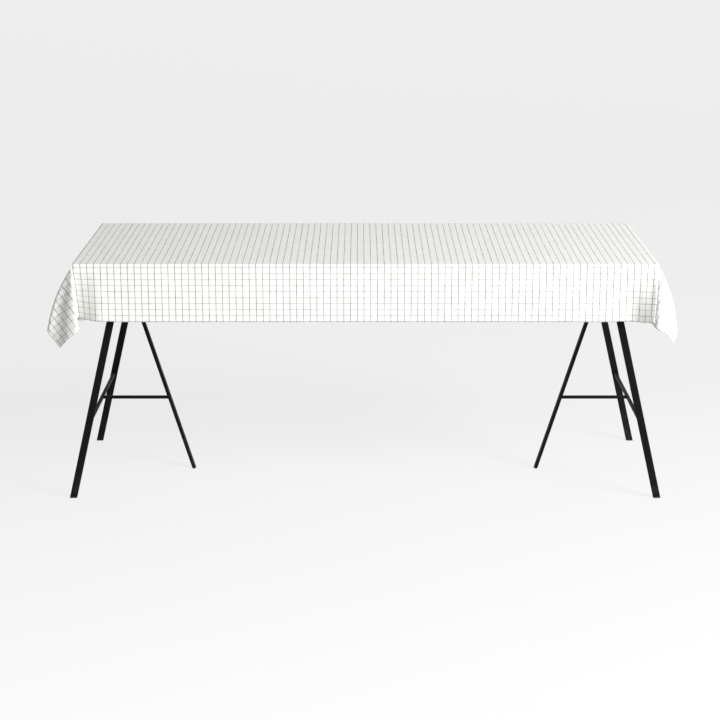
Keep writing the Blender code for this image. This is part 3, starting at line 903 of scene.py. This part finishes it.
class TABLECLOTH_OT_finish_table(bpy.types.Operator):
    """Round the edges of the board and the trestles and give them their finishes"""

    bl_idname = "tablecloth.finish_table"
    bl_label = "Finish the Table"

    def execute(self, context):
        settings = context.scene.trestle
        slots = {row["node"]: row["material_slot"] for row in frame["record"]["subparts"]}
        for name, obj in frame["nodes"].items():
            if slots[name] not in FINISH_MAKERS:
                continue
            material = finish_of(slots[name], settings)
            dress(obj, material)
            width = next((w for word, w in ROUNDING.items() if word in name), None)
            if width:
                piece = rounded(name, width)
            elif "grip_pad" in name:
                piece = ribbed_pad(name)
            else:
                continue
            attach(dress(piece, material), body_of(name))
            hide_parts(name)
        return {"FINISHED"}


# ---- fasteners and welds ------------------------------------------------------
HEAD_SIDES = 24
HEAD_SHARE = 0.3  # a button head's height, as a share of its width
SHANK_SHARE = 0.27  # the thread's radius, as a share of the head's width
SOCKET_SHARE = 0.5  # of the head's radius, from the hexagon's middle to its points
SOCKET_DEPTH = 0.6  # of the head's height
CROWN_SHARE = 0.45  # radius of the head's flat top, as a share of the head's
THREAD_PITCH = 0.45  # of the thread's radius, like the next two
THREAD_DEPTH = 0.12
POINT_SHARE = 0.7


def button_screw(name, head_radius, head_height, radius, length):
    """A button-head cap screw along +Z, its head's seat at z = 0 and its head below: a pattern to copy."""
    dome = [
        (head_height * math.cos(turn), head_radius * (CROWN_SHARE + (1 - CROWN_SHARE) * math.sin(turn)))
        for turn in (math.radians(step) for step in (0, 25, 50, 75, 90))
    ]
    work = bmesh.new()

    def ring(z, r):
        turns = [2 * math.pi * i / HEAD_SIDES for i in range(HEAD_SIDES)]
        return [work.verts.new((r * math.cos(turn), r * math.sin(turn), z)) for turn in turns]

    def join(a, b):
        for i in range(len(a)):
            work.faces.new((a[i], a[(i + 1) % len(a)], b[(i + 1) % len(b)], b[i]))

    socket = head_radius * SOCKET_SHARE
    each = HEAD_SIDES // 6

    def hexagon(z):
        turns = [math.pi * i / 3 for i in range(7)]
        corners = [Vector((socket * math.cos(turn), socket * math.sin(turn), z)) for turn in turns]
        return [
            work.verts.new(corners[i].lerp(corners[i + 1], j / each)) for i in range(6) for j in range(each)
        ]

    floor, rim = hexagon(-head_height * (1 - SOCKET_DEPTH)), hexagon(-head_height)
    work.faces.new(floor)
    join(floor, rim)
    rings = [rim] + [ring(-z, r) for z, r in dome]
    pitch = radius * THREAD_PITCH
    rings.append(ring(0, radius))
    for i in range(int((length - radius) / pitch)):
        rings.append(ring((i + 0.5) * pitch, radius - radius * THREAD_DEPTH))
        rings.append(ring((i + 1) * pitch, radius))
    rings.append(ring(length, radius * POINT_SHARE))
    for a, b in zip(rings, rings[1:]):
        join(a, b)
    work.faces.new(rings[-1])
    bmesh.ops.recalc_face_normals(work, faces=work.faces)
    return worked(name, work)


def screw_tree():
    """Geometry Nodes that set one screw on each point, driven along the point's direction."""
    tree, source = geometry_tree("cap_screws", {"Size": 1.0}, objects=("Screw",))
    pattern = add(tree, "GeometryNodeObjectInfo", {"Object": source["Screw"]}).outputs["Geometry"]
    drive = add(tree, "GeometryNodeInputNamedAttribute", {"Name": "drive"}, data_type="FLOAT_VECTOR")
    aimed = add(
        tree, "FunctionNodeAlignRotationToVector", {"Vector": drive.outputs["Attribute"]}, axis="Z"
    ).outputs["Rotation"]
    spin = add(
        tree,
        "FunctionNodeRandomValue",
        {"Min": (0.0, 0.0, 0.0), "Max": (0.0, 0.0, math.pi / 3), "Seed": 7},
        data_type="FLOAT_VECTOR",
    ).outputs["Value"]
    turned = add(
        tree, "FunctionNodeRotateRotation", {"Rotation": aimed, "Rotate By": spin}, rotation_space="LOCAL"
    ).outputs["Rotation"]
    return finished_tree(tree, source, source["Geometry"], pattern, Rotation=turned, Scale=source["Size"])


def driven(node):
    """How a screw node is driven, from its box: (head's outer end, direction, head's width, length)."""
    low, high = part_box(node)
    size = high - low
    if "plate_bolt" in node:
        way = Vector((0, 0, 1))
    elif "leg_screw" in node:
        way = Vector((0, 1 if low.y < 0 else -1, 0))
    else:
        way = Vector((1 if low.x < 0 else -1, 0, 0))
    long = max(range(3), key=lambda axis: abs(way[axis]))
    wide = size[(long + 1) % 3]
    end = (low + high) / 2
    end[long] = low[long] if way[long] > 0 else high[long]
    return end, way, wide, size[long]


class TABLECLOTH_OT_screws(bpy.types.Operator):
    """Put in the bolts under the rails and the screws in the bars"""

    bl_idname = "tablecloth.screws"
    bl_label = "Put in the Screws"

    def execute(self, context):
        steel = finish_of("black_oxide_steel", context.scene.trestle)
        tree = screw_tree()
        for side in SIDE_WORDS:
            for word in ("plate_bolt", "screw"):
                nodes = sorted(n for n in frame["nodes"] if n.startswith(side) and word in n)
                self.set_of(f"{side}_{word}s", nodes, tree, steel)
        return {"FINISHED"}

    def set_of(self, name, nodes, tree, steel):
        """Screws of one size, each in its node's place."""
        rows = [driven(node) for node in nodes]
        _, _, wide, length = rows[0]
        height = wide * HEAD_SHARE
        pattern = button_screw(f"{name}_pattern", wide / 2, height, wide * SHANK_SHARE, length - height)
        seats = bpy.data.meshes.new(name)
        seats.from_pydata([tuple(end + way * height) for end, way, _, _ in rows], [], [])
        drive = seats.attributes.new("drive", "FLOAT_VECTOR", "POINT")
        drive.data.foreach_set("vector", [c for _, way, _, _ in rows for c in way])
        made = grown(linked(name, seats), tree, {"Screw": pattern, "Material": steel})
        made.data.set_sharp_from_angle(angle=SHARP_ANGLE)
        bpy.data.objects.remove(pattern)
        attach(made, body_of(name))
        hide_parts(*nodes)


BEAD_PITCH = 1.7 * MM
BEAD_SIZE = 1.5 * MM
SAME_DIRECTION = 0.06  # radians, between an outer corner of a tube and the inner one behind it


def bead_tree():
    """Geometry Nodes that lay overlapping drops of weld along a loop."""
    tree, source = geometry_tree("weld_beads", {"Pitch": BEAD_PITCH, "Bead": BEAD_SIZE})
    places, _ = evenly_along(tree, source)
    drop = add(tree, "GeometryNodeMeshIcoSphere", {"Radius": source["Bead"], "Subdivisions": 2})
    size = add(tree, "FunctionNodeRandomValue", {"Min": 0.85, "Max": 1.1, "Seed": 3}, data_type="FLOAT")
    return finished_tree(tree, source, places, drop.outputs["Mesh"], Scale=size.outputs["Value"])


def outline_at_top(node):
    """The loop of a leg's outer corners at its upper end, in order."""
    mesh = frame["nodes"][node].data
    top = max(vertex.co.z for vertex in mesh.vertices)
    places = {tuple(round(c, 6) for c in v.co) for v in mesh.vertices if v.co.z > top - MM / 10}
    middle = sum((Vector(p) for p in places), Vector()) / len(places)
    turn = {p: math.atan2(p[1] - middle.y, p[0] - middle.x) for p in places}
    reach = {p: (Vector(p) - middle).length for p in places}

    def is_outer(p):
        beside = [q for q in places if abs(turn[p] - turn[q]) < SAME_DIRECTION]
        return all(reach[p] >= reach[q] - MM for q in beside)

    return [p for p in sorted(places, key=turn.get) if is_outer(p)]


class TABLECLOTH_OT_welds(bpy.types.Operator):
    """Lay the weld between each leg and its plate"""

    bl_idname = "tablecloth.welds"
    bl_label = "Weld the Legs"

    def execute(self, context):
        coat = finish_of("powder_coated_steel", context.scene.trestle)
        tree = bead_tree()
        for side in SIDE_WORDS:
            points, edges = [], []
            starts = (f"{side}_inner_leg", f"{side}_outer_leg")
            for node in sorted(name for name in frame["nodes"] if name.startswith(starts)):
                loop = outline_at_top(node)
                first = len(points)
                points += loop
                edges += [(first + i, first + (i + 1) % len(loop)) for i in range(len(loop))]
            mesh = bpy.data.meshes.new(f"{side}_leg_welds")
            mesh.from_pydata(points, edges, [])
            made = grown(linked(mesh.name, mesh), tree, {"Material": coat})
            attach(made, f"{side}_trestle")
        return {"FINISHED"}


# ---- the stage ----------------------------------------------------------------
CAMERA_PLACE = (-0.016, -5.466, 1.866)
CAMERA_PITCH = math.radians(15.36)
CAMERA_LENS = 88.1
WALL_Y = 7.5  # where the paper starts to rise, far enough back for a view from behind
COVE_RADIUS = 1.2
PAPER_REACH = 30.0  # to the front and the sides
PAPER_HEIGHT = 9.0
SKY_STRENGTH = 0.20
KEY_DIRECTION = (0.696, -0.546, 0.466)  # from the table towards the lamp
KEY_DISTANCE = 8.5
KEY_SIZE = 4.2
KEY_POWER = 1100
KEY_TARGET = Vector((0, 0, 0.5))
COVE_STEPS = 12


class TABLECLOTH_OT_stage(bpy.types.Operator):
    """Set up the floor, the lights and the camera"""

    bl_idname = "tablecloth.stage"
    bl_label = "Set the Stage"

    def execute(self, context):
        scene = context.scene
        profile = [(-PAPER_REACH, 0.0), (WALL_Y, 0.0)]
        for step in range(1, COVE_STEPS + 1):
            turn = math.radians(90 * step / COVE_STEPS)
            profile.append((WALL_Y + COVE_RADIUS * math.sin(turn), COVE_RADIUS * (1 - math.cos(turn))))
        profile.append((WALL_Y + COVE_RADIUS, PAPER_HEIGHT))
        points = [(x, y, z) for y, z in profile for x in (-PAPER_REACH, PAPER_REACH)]
        faces = [(2 * i, 2 * i + 1, 2 * i + 3, 2 * i + 2) for i in range(len(profile) - 1)]
        # The paper glows with painted light, brighter towards the lamp, so the table's shadows stay faint.
        paper = dress(mesh_object("paper", points, faces), painted_glow_floor())

        world = bpy.data.worlds.new("studio")
        scene.world = world
        world.use_nodes = True
        sky = world.node_tree.nodes["Background"]
        sky.inputs["Color"].default_value = (1, 1, 1, 1)
        sky.inputs["Strength"].default_value = SKY_STRENGTH
        scene.view_settings.view_transform = "Standard"

        light = bpy.data.lights.new("key", "AREA")
        light.shape = "DISK"
        light.size = KEY_SIZE
        light.energy = KEY_POWER
        lamp = linked("key", light)
        away = Vector(KEY_DIRECTION).normalized()
        lamp.location = KEY_TARGET + away * KEY_DISTANCE
        lamp.rotation_euler = away.to_track_quat("Z", "Y").to_euler()
        lamp.visible_camera = False

        data = bpy.data.cameras.new("view")
        data.lens = CAMERA_LENS
        camera = linked("view", data)
        camera.location = CAMERA_PLACE
        camera.rotation_euler = (math.pi / 2 - CAMERA_PITCH, 0, 0)
        scene.camera = camera
        return {"FINISHED"}


class TABLECLOTH_PT_panel(bpy.types.Panel):
    """Lists the sizes, the colours and the steps"""

    bl_label = "Tablecloth"
    bl_idname = "TABLECLOTH_PT_panel"
    bl_space_type = "VIEW_3D"
    bl_region_type = "UI"
    bl_category = "Tablecloth"

    def draw(self, context):
        for settings in (context.scene.tablecloth, context.scene.trestle):
            column = self.layout.column()
            for name in settings.__annotations__:
                column.prop(settings, name)
        for step in STEPS:
            self.layout.operator(step.bl_idname)


STEPS = (
    TABLECLOTH_OT_stage,
    TABLECLOTH_OT_finish_table,
    TABLECLOTH_OT_screws,
    TABLECLOTH_OT_welds,
    TABLECLOTH_OT_drape,
)
CLASSES = (ClothSettings, TrestleSettings, *STEPS, TABLECLOTH_PT_panel)


def register():
    for cls in CLASSES:
        bpy.utils.register_class(cls)
    bpy.types.Scene.tablecloth = PointerProperty(type=ClothSettings)
    bpy.types.Scene.trestle = PointerProperty(type=TrestleSettings)


def unregister():
    del bpy.types.Scene.tablecloth
    del bpy.types.Scene.trestle
    for cls in reversed(CLASSES):
        bpy.utils.unregister_class(cls)


def main():
    register()
    bpy.ops.tablecloth.stage()
    bpy.ops.tablecloth.finish_table()
    bpy.ops.tablecloth.screws()
    bpy.ops.tablecloth.welds()
    bpy.ops.tablecloth.drape()


if __name__ == "__main__":
    main()
